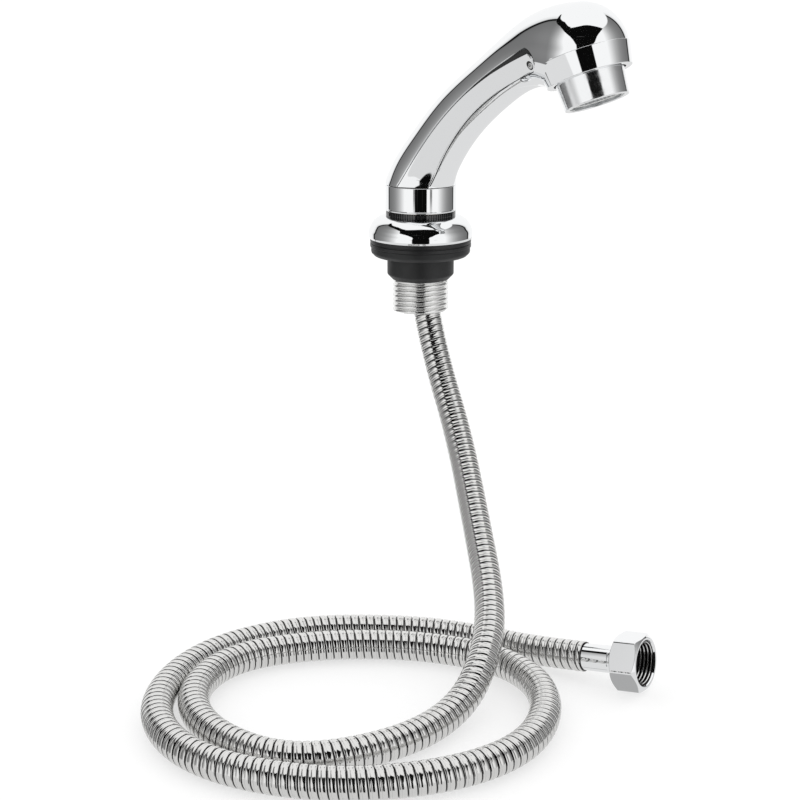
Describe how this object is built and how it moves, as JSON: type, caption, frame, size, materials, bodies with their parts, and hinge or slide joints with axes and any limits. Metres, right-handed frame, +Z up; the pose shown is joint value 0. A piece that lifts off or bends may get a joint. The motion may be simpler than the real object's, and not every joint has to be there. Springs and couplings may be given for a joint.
{
  "type": "hand shower with hose",
  "caption": "Pull-out hand shower with a curved chrome handset, a round deck base and a ribbed metal hose that ends in a hexagon coupling nut.",
  "frame": {"origin": "centre of the deck hole, at the top of the deck, where the base flange sits", "axes": "+Z up out of the deck, +X towards the spray head"},
  "size_m": [0.2067, 0.2708, 0.301],
  "materials": {
    "chrome": "polished chrome plate",
    "panel_chrome": "polished chrome plate on moulded panels",
    "hose_steel": "polished stainless strip",
    "steel": "plain stainless steel",
    "brass": "turned brass",
    "black_rubber": "soft black rubber",
    "black_plastic": "moulded black plastic",
    "white_plastic": "moulded white plastic",
    "grey_plastic": "moulded grey plastic"
  },
  "bodies": {
    "base": {"centring_bush": "black_plastic", "rubber_gasket": "black_rubber", "base_dome": "chrome", "threaded_shank": "chrome", "neck_ring": "black_plastic", "guide_bush": "white_plastic", "shower_hose": "hose_steel", "hose_ferrule": "chrome", "hose_tail": "brass"},
    "collar": {"collar_band": "chrome", "collar_core": "brass", "swivel_oring": "black_rubber", "swivel_clip": "steel", "hose_nipple": "brass", "nipple_washer": "black_rubber", "upper_ferrule": "chrome"},
    "handset": {"handle_shell": "chrome", "side_panel_left": "panel_chrome", "side_panel_right": "panel_chrome", "panel_screws": "steel", "head_ring": "chrome", "flow_core": "grey_plastic", "nozzle_cup": "chrome", "nozzle_washer": "black_rubber", "stream_insert": "white_plastic", "spray_plate": "grey_plastic", "water_tube": "white_plastic", "inlet_socket": "brass"},
    "coupling": {"coupling_nut": "chrome", "nut_washer": "black_rubber"}
  },
  "joints": [
    {"name": "collar_pull", "type": "slide", "parent": "base", "child": "collar", "axis": [0, 0, 1], "range_m": [0, 0.12], "deforming": ["shower_hose"]},
    {"name": "handset_swivel", "type": "hinge", "parent": "collar", "child": "handset", "pos_m": [0, 0, 0.0416], "axis": [0, 0, 1], "continuous": true},
    {"name": "nut_turn", "type": "hinge", "parent": "base", "child": "coupling", "pos_m": [0.148, -0.06, -0.1615], "axis": [0.9824, 0.1322, 0.1322], "continuous": true}
  ]
}
